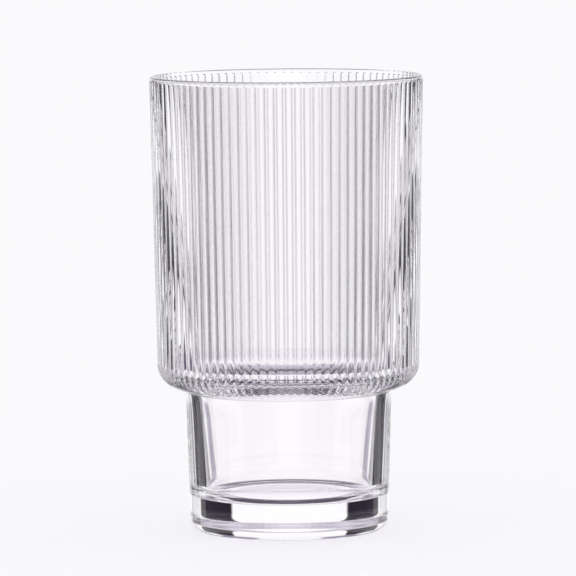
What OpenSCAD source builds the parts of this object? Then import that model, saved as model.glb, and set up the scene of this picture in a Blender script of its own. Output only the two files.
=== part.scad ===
/* [Overall] */
// Height from the table to the top of the lip
glass_h = 133.6; // [115:0.1:160]
// Diameter over the rib crests, at the lip
rim_d = 80; // [74:0.5:90]

/* [Barrel] */
// Diameter over the rib crests where the shoulder begins
barrel_low_d = 76.8; // [72:0.2:80]
// Height above the table where the shoulder begins
shoulder_z = 49.2; // [44:0.1:56]
// Wall at the lip, over the crests
lip_wall = 1.8; // [1.6:0.1:3.5]
// Wall at the bottom of the barrel, over the crests
barrel_wall = 3.4; // [2:0.1:4.5]

/* [Ribs] */
// Number of ribs around the glass
rib_count = 95; // [60:1:120]
// Depth of the grooves between the ribs
rib_depth = 0.45; // [0.2:0.05:0.7]
// Share of a rib's width that its round crest takes, the rest being the round of the groove
rib_crest_share = 0.75; // [0.5:0.05:0.9]
// Share of a rib by which the ribs are turned from the front
rib_turn_share = -0.23; // [-0.5:0.01:0.5]
// Plain band between the round of the lip and the ribs
lip_band = 0.2; // [0.2:0.1:5]
// Height over which the grooves come to their full depth below the plain band
rib_lead = 0.6; // [0.5:0.1:4]

/* [Shoulder] */
// Height of the outer shoulder curve
shoulder_drop = 7.4; // [5:0.1:9]
// Glass between the inner ledge and the underside of the shoulder
ledge_wall = 4.6; // [3:0.1:6]
// Radius inside, where the barrel turns in to the ledge
ledge_round_r = 3.2; // [2:0.1:5]
// Radius inside, where the ledge turns down into the foot
ledge_nose_r = 1.6; // [1:0.1:3.4]
// Radius outside, between the shoulder and the foot
neck_fillet_r = 0.8; // [0.5:0.1:2]

/* [Foot] */
// Diameter of the foot under the shoulder
foot_top_d = 60.4; // [56:0.2:64]
// Diameter of the foot above the heel
foot_low_d = 58.4; // [54:0.2:62]
// Wall at the top of the foot
foot_top_wall = 3.5; // [2.5:0.1:6]
// Wall at the bottom of the foot
foot_low_wall = 4.6; // [3:0.1:7]
// Radius of the heel, outside, at the table
heel_r = 3.6; // [1:0.1:5]

/* [Base] */
// Glass between the table and the edge of the floor inside
floor_t = 10.1; // [7:0.1:16]
// Rise of the middle of the floor over its edge
floor_rise = 0.5; // [0:0.1:1.5]
// Radius inside, between the foot wall and the floor
floor_fillet_r = 4.4; // [2:0.1:6]
// Width of the flat ring that stands on the table
rest_ring_w = 1; // [0.8:0.1:5]
// Rise of the underside inside the rest ring
punt_h = 1.1; // [0.2:0.1:2]

/* [Hidden] */

// Radii at the ends of each stretch of wall
rim_r = rim_d / 2;
barrel_low_r = barrel_low_d / 2;
foot_top_r = foot_top_d / 2;
foot_low_r = foot_low_d / 2;
foot_top_in_r = foot_top_r - foot_top_wall;
foot_low_in_r = foot_low_r - foot_low_wall;
barrel_low_in_r = barrel_low_r - barrel_wall;
rim_in_r = rim_r - lip_wall;

// The lip is a full round, as thick as the wall
lip_r = lip_wall / 2;
lip_round_z = glass_h - lip_r;

// The outer shoulder is a quarter of an ellipse that ends in the neck fillet
shoulder_run = barrel_low_r - foot_top_r;
shoulder_end_angle = acos(neck_fillet_r / shoulder_run);
underside_z = shoulder_z - shoulder_drop * sin(shoulder_end_angle);
foot_top_z = underside_z - neck_fillet_r;

// Inside, the barrel turns in to a ledge, and the ledge turns down into the foot
ledge_z = underside_z + ledge_wall;
ledge_round_z = ledge_z + ledge_round_r;

// Planes where one section of glass meets the next
seam_rise = 0.8;
barrel_seam_z = max(shoulder_z, ledge_round_z) + seam_rise;
rim_seam_z = lip_round_z - lip_band;
base_seam_z = floor_t + floor_rise + seam_rise;

// The grooves fade out on the shoulder between these two angles of its curve
rib_fade_start_angle = 0;
rib_fade_end_angle = 75;

// Fineness of the modelled curves
points_per_rib = 6;
lead_steps = 2;
shoulder_steps = 6;
neck_steps = 2;
arc_step_angle = 9;
revolve_sides = 128;
punt_steps = 6;
floor_steps = 4;

// Length by which a cutting solid runs past what it cuts
overrun = 2;

glass_colour = [0.86, 0.88, 0.9, 0.45];

// Points of an arc, from one angle to another, in equal steps
function arc(centre, r, from, to) =
    let (steps = ceil(abs(to - from) / arc_step_angle))
    [for (i = [0:steps])
        let (a = from + (to - from) * i / steps)
        centre + r * [cos(a), sin(a)]];

// Straight line through two points of an outline, read at a height
function radius_at(z, low, high) =
    low[0] + (high[0] - low[0]) * (z - low[1]) / (high[1] - low[1]);

function crest_r(z) = radius_at(z, [barrel_low_r, shoulder_z], [rim_r, lip_round_z]);
function barrel_in_r(z) = radius_at(z, [barrel_low_in_r, ledge_round_z], [rim_in_r, lip_round_z]);
function foot_r(z) = radius_at(z, [foot_low_r, heel_r], [foot_top_r, foot_top_z]);

// Share of the full groove depth at an angle of the shoulder curve
function rib_share(a) =
    a <= rib_fade_start_angle ? 1
    : a >= rib_fade_end_angle ? 0
    : (rib_fade_end_angle - a) / (rib_fade_end_angle - rib_fade_start_angle);

// Share of the groove depth across a rib, from -1 and 1 in the grooves beside it to 0 on its crest
function groove_share(across) =
    abs(across) < rib_crest_share
        ? pow(across, 2) / rib_crest_share
        : 1 - pow(1 - abs(across), 2) / (1 - rib_crest_share);

// A level is a height, the radius over the crests there and the groove depth there
lead_levels = [
    for (i = [0:lead_steps])
        let (share = i / lead_steps)
        let (z = rim_seam_z - rib_lead * (1 - share))
        [z, crest_r(z), rib_depth * sqrt(1 - pow(share, 2))]
];

barrel_levels = concat([[barrel_seam_z, crest_r(barrel_seam_z), rib_depth]], lead_levels);

neck_levels = [
    for (i = [0:neck_steps - 1])
        let (a = 180 - 90 * i / neck_steps)
        [foot_top_z + neck_fillet_r * sin(a), foot_top_r + neck_fillet_r * (1 + cos(a)), 0]
];

shoulder_levels = [
    for (i = [shoulder_steps:-1:0])
        let (a = shoulder_end_angle * i / shoulder_steps)
        let (r = foot_top_r + shoulder_run * cos(a))
        [shoulder_z - shoulder_drop * sin(a), r, rib_depth * rib_share(a) * r / barrel_low_r]
];

// Closed solid with ribbed sides, through the given levels from the lowest to the highest
module ribbed_solid(levels) {
    sides = rib_count * points_per_rib;
    rings = len(levels);
    side_points = [
        for (level = levels)
            for (i = [0:sides - 1])
                let (across = 2 * (i % points_per_rib) / points_per_rib - 1)
                let (a = 360 * (i / points_per_rib + rib_turn_share) / rib_count - 90)
                let (r = level[1] - level[2] * groove_share(across))
                [r * cos(a), r * sin(a), level[0]]
    ];
    low_centre = sides * rings;
    high_centre = low_centre + 1;
    top_ring = sides * (rings - 1);
    side_faces = [
        for (k = [0:rings - 2])
            for (i = [0:sides - 1])
                let (j = (i + 1) % sides)
                let (low = k * sides)
                let (high = low + sides)
                each [
                    [low + i, high + i, high + j],
                    [low + i, high + j, low + j]
                ]
    ];
    cap_faces = [
        for (i = [0:sides - 1])
            let (j = (i + 1) % sides)
            each [
                [low_centre, i, j],
                [high_centre, top_ring + j, top_ring + i]
            ]
    ];
    polyhedron(
        points = concat(side_points, [[0, 0, levels[0][0]], [0, 0, levels[rings - 1][0]]]),
        faces = concat(side_faces, cap_faces)
    );
}

// The whole inside of the glass: the foot, the ledge and the barrel, open at the top
module cavity() {
    floor_r = foot_low_in_r - floor_fillet_r;
    rotate_extrude($fn = revolve_sides)
        polygon(concat(
            [for (i = [0:floor_steps - 1])
                let (share = i / floor_steps)
                [floor_r * share, floor_t + floor_rise * (1 - pow(share, 2))]],
            arc([floor_r, floor_t + floor_fillet_r], floor_fillet_r, -90, 0),
            arc([foot_top_in_r + ledge_nose_r, ledge_z - ledge_nose_r], ledge_nose_r, 180, 90),
            arc([barrel_low_in_r - ledge_round_r, ledge_round_z], ledge_round_r, -90, 0),
            [
                [rim_in_r, lip_round_z],
                [rim_in_r, glass_h + overrun],
                [0, glass_h + overrun]
            ]
        ));
}

module rim() {
    color(glass_colour)
        rotate_extrude($fn = revolve_sides)
            polygon(concat(
                [[crest_r(rim_seam_z), rim_seam_z]],
                arc([rim_r - lip_r, lip_round_z], lip_r, 0, 180),
                [[barrel_in_r(rim_seam_z), rim_seam_z]]
            ));
}

module ribbed_barrel() {
    color(glass_colour)
        difference() {
            ribbed_solid(barrel_levels);
            cavity();
        }
}

module ribbed_shoulder() {
    color(glass_colour)
        difference() {
            ribbed_solid(concat(
                neck_levels,
                shoulder_levels,
                [[barrel_seam_z, crest_r(barrel_seam_z), rib_depth]]
            ));
            cavity();
        }
}

module foot_wall() {
    color(glass_colour)
        difference() {
            rotate_extrude($fn = revolve_sides)
                polygon([
                    [0, base_seam_z],
                    [foot_r(base_seam_z), base_seam_z],
                    [foot_top_r, foot_top_z],
                    [0, foot_top_z]
                ]);
            cavity();
        }
}

module solid_base() {
    rest_in_r = foot_low_r - heel_r - rest_ring_w;
    punt_r = (pow(rest_in_r, 2) + pow(punt_h, 2)) / (2 * punt_h);
    punt_half_angle = asin(rest_in_r / punt_r);
    color(glass_colour)
        difference() {
            rotate_extrude($fn = revolve_sides)
                polygon(concat(
                    [for (i = [0:punt_steps])
                        let (a = punt_half_angle * i / punt_steps)
                        [punt_r * sin(a), punt_h - punt_r * (1 - cos(a))]],
                    arc([foot_low_r - heel_r, heel_r], heel_r, -90, 0),
                    [
                        [foot_r(base_seam_z), base_seam_z],
                        [0, base_seam_z]
                    ]
                ));
            cavity();
        }
}

rim();
ribbed_barrel();
ribbed_shoulder();
foot_wall();
solid_base();
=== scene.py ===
import bpy
import math
import random
from mathutils import Euler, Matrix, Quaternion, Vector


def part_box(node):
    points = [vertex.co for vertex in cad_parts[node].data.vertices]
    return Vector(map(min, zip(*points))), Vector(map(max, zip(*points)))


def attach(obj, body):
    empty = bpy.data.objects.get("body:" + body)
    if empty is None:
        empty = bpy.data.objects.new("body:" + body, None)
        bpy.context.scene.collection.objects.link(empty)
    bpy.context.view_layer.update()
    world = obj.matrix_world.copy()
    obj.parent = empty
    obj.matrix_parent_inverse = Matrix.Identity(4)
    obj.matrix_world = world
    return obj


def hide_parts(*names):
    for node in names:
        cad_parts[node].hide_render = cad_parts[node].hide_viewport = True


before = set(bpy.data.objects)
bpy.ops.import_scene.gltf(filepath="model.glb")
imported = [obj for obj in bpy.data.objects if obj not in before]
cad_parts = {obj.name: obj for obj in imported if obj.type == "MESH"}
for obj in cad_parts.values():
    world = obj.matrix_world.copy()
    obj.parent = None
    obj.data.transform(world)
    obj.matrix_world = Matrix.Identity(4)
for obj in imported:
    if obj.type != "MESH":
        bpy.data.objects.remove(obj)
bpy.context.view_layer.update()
mm = 0.001
print("frame loaded:", ", ".join(sorted(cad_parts)))


class Wire:  # a shader socket that can stand in a sum
    def __init__(self, graph, socket):
        self.graph = graph
        self.socket = socket

    def __add__(self, other):
        return self.graph.sum("ADD", self, other)

    def __sub__(self, other):
        return self.graph.sum("SUBTRACT", self, other)

    def __mul__(self, other):
        return self.graph.sum("MULTIPLY", self, other)

    def __truediv__(self, other):
        return self.graph.sum("DIVIDE", self, other)

    def __rsub__(self, other):
        return self.graph.sum("SUBTRACT", other, self)

    def __rtruediv__(self, other):
        return self.graph.sum("DIVIDE", other, self)

    __radd__ = __add__
    __rmul__ = __mul__


class Graph:  # a node tree, emptied and built up again from wires
    def __init__(self, tree):
        self.tree = tree
        tree.nodes.clear()

    def node(self, kind, settings=None, inputs=None, output=0):
        made = self.tree.nodes.new(kind)
        for name, value in (settings or {}).items():
            if name == "stops":  # (place from 0 to 1, colour) along a ramp
                self.setStops(made.color_ramp.elements, value)
            else:
                setattr(made, name, value)
        for name, value in (inputs or {}).items():
            if isinstance(value, Wire):
                self.tree.links.new(value.socket, made.inputs[name])
            else:
                made.inputs[name].default_value = value
        if not made.outputs:
            return made
        return Wire(self, made.outputs[output])

    def sum(self, operation, *values):
        return self.node("ShaderNodeMath", {"operation": operation}, dict(enumerate(values)))

    def product(self, first, second):  # of two vectors or colours
        return self.node("ShaderNodeVectorMath", {"operation": "MULTIPLY"}, {0: first, 1: second})

    def setStops(self, elements, stops):
        while len(elements) > 1:
            elements.remove(elements[-1])
        elements[0].position, elements[0].color = stops[0]
        for place, colour in stops[1:]:
            elements.new(place).color = colour

    def step(self, value, start, end):  # 0 below start, 1 above end, smooth between
        return self.node(
            "ShaderNodeMapRange",
            {"interpolation_type": "SMOOTHSTEP"},
            {"Value": value, "From Min": start, "From Max": end},
        )

    def between(self, value, low, high, soft):  # 1 from low to high, with soft edges
        above = self.step(value, low - soft, low + soft)
        return above * (1 - self.step(value, high - soft, high + soft))

    def blend(self, factor, first, second):  # the node takes colours at 6 and 7 and gives one at 2
        return self.node("ShaderNodeMix", {"data_type": "RGBA"}, {0: factor, 6: first, 7: second}, 2)

    def rays(self, *names):  # 1 for a ray of one of these kinds
        path = self.node("ShaderNodeLightPath").socket.node
        kinds = [Wire(self, path.outputs[name]) for name in names]
        total = kinds[0]
        for kind in kinds[1:]:
            total = total + kind
        return self.sum("MINIMUM", total, 1.0)


# The camera stands where the photographer's did; angles are in degrees
cameraSetup = {
    "distance": 1451 * mm,
    "height": 209.2 * mm,
    "aimX": 0.07 * mm,
    "aimZ": 71.2 * mm,
    "fieldOfView": 6.63,
    "roll": -0.47,
    "sensor": 36,
    "reach": 100,  # how far it sees, in metres
}


def makeCamera(setup):
    data = bpy.data.cameras.new("camera")
    data.sensor_width = setup["sensor"]
    data.lens = data.sensor_width / 2 / math.tan(math.radians(setup["fieldOfView"]) / 2)
    data.clip_end = setup["reach"]
    camera = bpy.data.objects.new("camera", data)
    bpy.context.scene.collection.objects.link(camera)
    pitch = math.atan2(setup["height"] - setup["aimZ"], setup["distance"])
    camera.location = (setup["aimX"], -setup["distance"], setup["height"])
    camera.rotation_mode = "QUATERNION"
    level = Euler((math.pi / 2 - pitch, 0, 0)).to_quaternion()
    camera.rotation_quaternion = level @ Quaternion((0, 0, 1), math.radians(setup["roll"]))
    bpy.context.scene.camera = camera


makeCamera(cameraSetup)
print("camera placed")

# The glass has the sizes of its solids, in mm, and angles in degrees
glassShape = {
    "ribCount": 95,
    "ribDepth": 0.45,
    "ribCrestShare": 0.75,
    "ribTurnShare": -0.23,  # share of a rib by which the ribs are turned from the front
    # Places across a rib, from its crest at 0 to the grooves beside it at -1 and 1
    "ribPlaceShares": (-1, -0.92, -0.83, -0.75, -0.5, -0.2, 0.2, 0.5, 0.75, 0.83, 0.92),
    "ribDepthSpreadShare": 0.05,  # how much one rib differs from the next
    "ribTurnSpreadShare": 0.012,
    "ribSeed": 7,
    "ribLead": 0.6,
    "ribFadeStart": 0,
    "ribFadeEnd": 75,
    "lipBand": 0.2,
    "lipWall": 1.8,
    "barrelLowR": 38.4,
    "barrelWall": 3.4,
    "shoulderZ": 49.2,
    "shoulderDrop": 7.4,
    "neckFilletR": 0.8,
    "ledgeWall": 4.6,
    "ledgeRoundR": 3.2,
    "ledgeNoseR": 1.6,
    "footTopWall": 3.5,
    "footLowR": 29.2,
    "footLowWall": 4.6,
    "floorT": 10.1,
    "floorRise": 0.5,
    "floorFilletR": 4.4,
    "heelR": 3.6,
    "restRingW": 1.0,
    "puntH": 1.1,
    "steps": {  # in how many steps each stretch of the outline is made
        "punt": 12,
        "heel": 16,
        "foot": 6,
        "neck": 6,
        "shoulder": 30,
        "barrel": 12,
        "ribLead": 8,
        "lipBand": 3,
        "lip": 20,
        "barrelInside": 12,
        "ledgeRound": 14,
        "ledgeNose": 12,
        "footInside": 6,
        "floorFillet": 12,
        "floor": 8,
    },
}


def arcPoints(centreR, centreZ, radius, start, end, steps):
    angles = [math.radians(start + (end - start) * i / steps) for i in range(steps + 1)]
    return [(centreR + radius * math.cos(angle), centreZ + radius * math.sin(angle)) for angle in angles]


def stretch(first, last, steps):  # points between two points, both left out
    return [
        (first[0] + (last[0] - first[0]) * i / steps, first[1] + (last[1] - first[1]) * i / steps)
        for i in range(1, steps)
    ]


def pointAt(z, low, high):  # on the straight line through two points, at a height
    return low[0] + (high[0] - low[0]) * (z - low[1]) / (high[1] - low[1]), z


def smooth(points):  # the same points without grooves
    return [(r, z, 0) for r, z in points]


def workOut(sizes):  # the sizes, with those that follow from them and from the frame
    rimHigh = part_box("rim")[1]
    shape = dict(sizes)
    shape["rimR"] = rimHigh[0] / mm
    shape["lipR"] = sizes["lipWall"] / 2
    shape["lipZ"] = rimHigh[2] / mm - shape["lipR"]
    shape["rimSeamZ"] = shape["lipZ"] - sizes["lipBand"]
    shape["footTopR"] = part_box("foot_wall")[1][0] / mm
    shape["shoulderRun"] = sizes["barrelLowR"] - shape["footTopR"]
    shape["shoulderEnd"] = math.degrees(math.acos(sizes["neckFilletR"] / shape["shoulderRun"]))
    undersideZ = sizes["shoulderZ"] - sizes["shoulderDrop"] * math.sin(math.radians(shape["shoulderEnd"]))
    shape["footTopZ"] = undersideZ - sizes["neckFilletR"]
    shape["ledgeZ"] = undersideZ + sizes["ledgeWall"]
    return shape


def footOutside(shape):  # from the middle of the underside up to the neck
    steps = shape["steps"]
    heelR = shape["heelR"]
    neckR = shape["neckFilletR"]
    heelCentreR = shape["footLowR"] - heelR
    restInR = heelCentreR - shape["restRingW"]
    puntR = (restInR ** 2 + shape["puntH"] ** 2) / (2 * shape["puntH"])
    puntHalf = math.degrees(math.asin(restInR / puntR))
    footTop = (shape["footTopR"], shape["footTopZ"])
    return smooth(
        arcPoints(0, shape["puntH"] - puntR, puntR, 90, 90 - puntHalf, steps["punt"])
        + arcPoints(heelCentreR, heelR, heelR, -90, 0, steps["heel"])
        + stretch((shape["footLowR"], heelR), footTop, steps["foot"])
        + arcPoints(footTop[0] + neckR, footTop[1], neckR, 180, 90, steps["neck"])[:-1]
    )


def shoulderOutside(shape):  # part of an ellipse, down which the grooves fade out
    steps = shape["steps"]["shoulder"]
    fadeAngle = shape["ribFadeEnd"] - shape["ribFadeStart"]
    points = []
    for i in range(steps, -1, -1):
        angle = shape["shoulderEnd"] * i / steps
        r = shape["footTopR"] + shape["shoulderRun"] * math.cos(math.radians(angle))
        z = shape["shoulderZ"] - shape["shoulderDrop"] * math.sin(math.radians(angle))
        share = min(1, max(0, (shape["ribFadeEnd"] - angle) / fadeAngle))
        share = share * share * (3 - 2 * share)
        points.append((r, z, shape["ribDepth"] * share * r / shape["barrelLowR"]))
    return points


def barrelOutside(shape):  # the ribbed wall, the upper ends of its grooves and the lip
    steps = shape["steps"]
    low = (shape["barrelLowR"], shape["shoulderZ"])
    high = (shape["rimR"], shape["lipZ"])
    ribTopZ = shape["rimSeamZ"] - shape["ribLead"]
    wall = stretch(low, pointAt(ribTopZ, low, high), steps["barrel"])
    points = [(r, z, shape["ribDepth"]) for r, z in wall]
    for i in range(steps["ribLead"] + 1):
        share = i / steps["ribLead"]
        r, z = pointAt(ribTopZ + shape["ribLead"] * share, low, high)
        points.append((r, z, shape["ribDepth"] * math.sqrt(1 - share ** 2)))
    return points + smooth(
        stretch(pointAt(shape["rimSeamZ"], low, high), high, steps["lipBand"])
        + arcPoints(high[0] - shape["lipR"], high[1], shape["lipR"], 0, 180, steps["lip"])
    )


def glassInside(shape):  # from the lip down to the middle of the floor
    steps = shape["steps"]
    roundR = shape["ledgeRoundR"]
    noseR = shape["ledgeNoseR"]
    filletR = shape["floorFilletR"]
    barrelHigh = (shape["rimR"] - shape["lipWall"], shape["lipZ"])
    barrelLow = (shape["barrelLowR"] - shape["barrelWall"], shape["ledgeZ"] + roundR)
    footHigh = (shape["footTopR"] - shape["footTopWall"], shape["ledgeZ"] - noseR)
    footLow = (shape["footLowR"] - shape["footLowWall"], shape["floorT"] + filletR)
    floorR = footLow[0] - filletR
    floor = []
    for i in range(1, steps["floor"] + 1):
        share = 1 - i / steps["floor"]
        floor.append((floorR * share, shape["floorT"] + shape["floorRise"] * (1 - share ** 2)))
    return smooth(
        stretch(barrelHigh, barrelLow, steps["barrelInside"])
        + arcPoints(barrelLow[0] - roundR, barrelLow[1], roundR, 0, -90, steps["ledgeRound"])
        + arcPoints(footHigh[0] + noseR, footHigh[1], noseR, 90, 180, steps["ledgeNose"])
        + stretch(footHigh, footLow, steps["footInside"])
        + arcPoints(floorR, footLow[1], filletR, 0, -90, steps["floorFillet"])
        + floor
    )


def grooveShare(across, crestShare):  # 0 on a rib's crest, 1 at the bottom of a groove
    place = abs(across)
    if place < crestShare:
        return place ** 2 / crestShare
    return 1 - (1 - place) ** 2 / (1 - crestShare)


def ribsAround(shape):  # the way to each point round the glass, and its share of the groove depth
    count = shape["ribCount"]
    draw = random.Random(shape["ribSeed"])
    depths = [1 - draw.uniform(0, shape["ribDepthSpreadShare"]) for rib in range(count)]
    turns = [draw.uniform(-1, 1) * shape["ribTurnSpreadShare"] for rib in range(count)]
    around = []
    for rib in range(count):
        for across in shape["ribPlaceShares"]:
            ribs = rib + (across + 1) / 2 + shape["ribTurnShare"] + turns[rib]
            angle = 2 * math.pi * ribs / count - math.pi / 2
            share = grooveShare(across, shape["ribCrestShare"]) * depths[rib]
            around.append((math.cos(angle), math.sin(angle), share))
    return around


def makeGlassBody(sizes):
    shape = workOut(sizes)
    # Each point of the outline is a radius, a height and the depth of the grooves there
    outline = footOutside(shape) + shoulderOutside(shape) + barrelOutside(shape) + glassInside(shape)
    around = ribsAround(shape)
    verts = [(0, 0, outline[0][1] * mm)]
    for r, z, depth in outline[1:-1]:
        for x, y, share in around:
            here = (r - depth * share) * mm
            verts.append((here * x, here * y, z * mm))
    verts.append((0, 0, outline[-1][1] * mm))
    sides = len(around)
    last = len(verts) - 1
    lastRing = last - sides
    faces = []
    for i in range(sides):
        j = (i + 1) % sides
        faces.append((0, 1 + j, 1 + i))
        faces.append((last, lastRing + i, lastRing + j))
        for ring in range(1, lastRing, sides):
            faces.append((ring + i, ring + j, ring + sides + j, ring + sides + i))
    mesh = bpy.data.meshes.new("glass_body")
    mesh.from_pydata(verts, [], faces)
    mesh.polygons.foreach_set("use_smooth", [True] * len(mesh.polygons))
    mesh.update()
    body = bpy.data.objects.new("glass_body", mesh)
    bpy.context.scene.collection.objects.link(body)
    return body


clearGlass = {
    "tint": (0.989, 0.976, 1.0, 1),
    "ior": 1.5,
    "shadowShare": 0.9,  # how clear the glass is to shadow and to soft light
    "flowScale": 60,  # the fine waviness of pressed glass, drawn out upwards
    "flowDetail": 2.0,
    "flowStretch": 0.12,
    "flowHeight": 0.02 * mm,
}


def makeClearGlass(look):
    material = bpy.data.materials.new("clear_glass")
    material.use_nodes = True
    graph = Graph(material.node_tree)
    place = graph.node("ShaderNodeTexCoord", {}, {}, "Object")
    flow = graph.node("ShaderNodeTexNoise", {}, {
        "Vector": graph.product(place, (1, 1, look["flowStretch"])),
        "Scale": look["flowScale"],
        "Detail": look["flowDetail"],
    })
    bump = graph.node("ShaderNodeBump", {}, {
        "Height": flow,
        "Distance": look["flowHeight"],
        "Strength": 1.0,
    })
    glass = graph.node("ShaderNodeBsdfPrincipled", {}, {
        "Base Color": look["tint"],
        "Roughness": 0.0,
        "IOR": look["ior"],
        "Transmission Weight": 1.0,
        "Normal": bump,
    })
    clear = graph.node("ShaderNodeBsdfTransparent", {}, {"Color": look["tint"]})
    shadow = graph.rays("Is Shadow Ray", "Is Diffuse Ray") * look["shadowShare"]
    mixed = graph.node("ShaderNodeMixShader", {}, {0: shadow, 1: glass, 2: clear})
    graph.node("ShaderNodeOutputMaterial", {}, {"Surface": mixed})
    return material


glassBody = makeGlassBody(glassShape)
glassBody.data.materials.append(makeClearGlass(clearGlass))
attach(glassBody, "root")
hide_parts("rim", "ribbed_barrel", "ribbed_shoulder", "foot_wall", "solid_base")
print("glass made:", len(glassBody.data.polygons), "faces")

studio = {
    "white": (0.956, 0.956, 0.973, 1),
    "glassWhite": (1.04, 1.04, 1.04),  # how bright the surround is to the glass
    "floorSize": 60,  # in metres
    # What the glass sees round it: the height in degrees, and the colour there
    "heights": (
        (-90, (0.16, 0.14, 0.19, 1)),
        (-74, (0.06, 0.05, 0.08, 1)),
        (-44, (0.06, 0.05, 0.08, 1)),
        (-38, (0.95, 0.95, 0.95, 1)),
        (28, (1, 1, 1, 1)),
        (46, (0.98, 0.96, 1, 1)),
        (56, (0.62, 0.57, 0.68, 1)),
        (90, (0.62, 0.57, 0.68, 1)),
    ),
    # Cards that only the glass sees, each in front of those before it. They stand on both sides alike. The
    # turn from straight behind the glass, the height and the soft edge are in degrees.
    "cards": {
        "light strip below": {
            "turn": (-9, 15),
            "height": (-53, -49.5),
            "soft": 0.6,
            "colour": (0.95, 0.93, 0.98, 1),
        },
        "dark flags": {
            "turn": (24.7, 52),
            "height": (-16, 28),
            "soft": 0.8,
            "colour": (0.013, 0.009, 0.017, 1),
        },
        # painted shadow: a grey patch where the glass's own shadow lies on the table, as seen through the
        # glass
        "painted glass shadow on the table": {
            "turn": (14, 36),
            "height": (-34, -16),
            "soft": 2.0,
            "colour": (0.31, 0.28, 0.36, 1),
        },
        "grey strips": {
            "turn": (15.5, 21),
            "height": (-16, -9),
            "soft": 0.7,
            "colour": (0.41, 0.38, 0.46, 1),
        },
        "low dark line at the sides": {
            "turn": (66, 108),
            "height": (-11.2, -9),
            "soft": 0.5,
            "colour": (0.1, 0.08, 0.13, 1),
        },
        "dim room above the camera": {
            "turn": (60, 182),
            "height": (24, 52),
            "soft": 3.0,
            "colour": (0.5, 0.46, 0.55, 1),
        },
        "dim corners behind the camera": {
            "turn": (112, 148),
            "height": (-9, 30),
            "soft": 3.0,
            "colour": (0.12, 0.1, 0.14, 1),
        },
        "behind the camera": {
            "turn": (148, 163),
            "height": (-4, 4),
            "soft": 2.0,
            "colour": (0.2, 0.17, 0.24, 1),
        },
    },
    "bounces": 24,  # light meets many faces of the glass
    "glossyBounces": 16,
}


def raysOffGlass(graph):  # 1 for what is seen through or on the glass
    return graph.rays("Is Transmission Ray", "Is Glossy Ray")


def rampPlace(height):  # heights run from -90 to 90 degrees
    return (height + 90) / 180


def makeWorld(look):
    world = bpy.data.worlds.new("studio")
    world.use_nodes = True
    bpy.context.scene.world = world
    graph = Graph(world.node_tree)
    way = graph.node("ShaderNodeTexCoord")
    split = graph.node("ShaderNodeSeparateXYZ", {}, {"Vector": way}).socket.node
    x, y, z = (Wire(graph, split.outputs[name]) for name in ("X", "Y", "Z"))
    turn = graph.sum("ARCTAN2", graph.sum("ABSOLUTE", x), y) * math.degrees(1)
    height = graph.sum("ARCSINE", z) * math.degrees(1)
    stops = [(rampPlace(degrees), colour) for degrees, colour in look["heights"]]
    light = graph.node("ShaderNodeValToRGB", {"stops": stops}, {"Fac": rampPlace(height)})
    for card in look["cards"].values():
        across = graph.between(turn, *card["turn"], card["soft"])
        upright = graph.between(height, *card["height"], card["soft"])
        light = graph.blend(across * upright, light, card["colour"])
    surround = graph.product(light, look["glassWhite"])
    plain = graph.blend(graph.rays("Is Camera Ray"), (1, 1, 1, 1), look["white"])
    colour = graph.blend(raysOffGlass(graph), plain, surround)
    back = graph.node("ShaderNodeBackground", {}, {"Color": colour, "Strength": 1.0})
    graph.node("ShaderNodeOutputWorld", {}, {"Surface": back})


def makeFloor(look):
    half = look["floorSize"] / 2
    corners = [(-half, -half, 0), (half, -half, 0), (half, half, 0), (-half, half, 0)]
    mesh = bpy.data.meshes.new("floor")
    mesh.from_pydata(corners, [], [(0, 1, 2, 3)])
    floor = bpy.data.objects.new("floor", mesh)
    bpy.context.scene.collection.objects.link(floor)
    material = bpy.data.materials.new("floor")
    material.use_nodes = True
    graph = Graph(material.node_tree)
    matt = graph.node("ShaderNodeBsdfDiffuse", {}, {"Color": look["white"]})
    clear = graph.node("ShaderNodeBsdfTransparent")
    mixed = graph.node("ShaderNodeMixShader", {}, {0: raysOffGlass(graph), 1: matt, 2: clear})
    graph.node("ShaderNodeOutputMaterial", {}, {"Surface": mixed})
    mesh.materials.append(material)


makeWorld(studio)
makeFloor(studio)
view = bpy.context.scene.view_settings
view.view_transform = "Standard"
cycles = bpy.context.scene.cycles
cycles.max_bounces = studio["bounces"]
cycles.glossy_bounces = studio["glossyBounces"]
cycles.transmission_bounces = studio["bounces"]
cycles.transparent_max_bounces = studio["bounces"]
print("studio made")
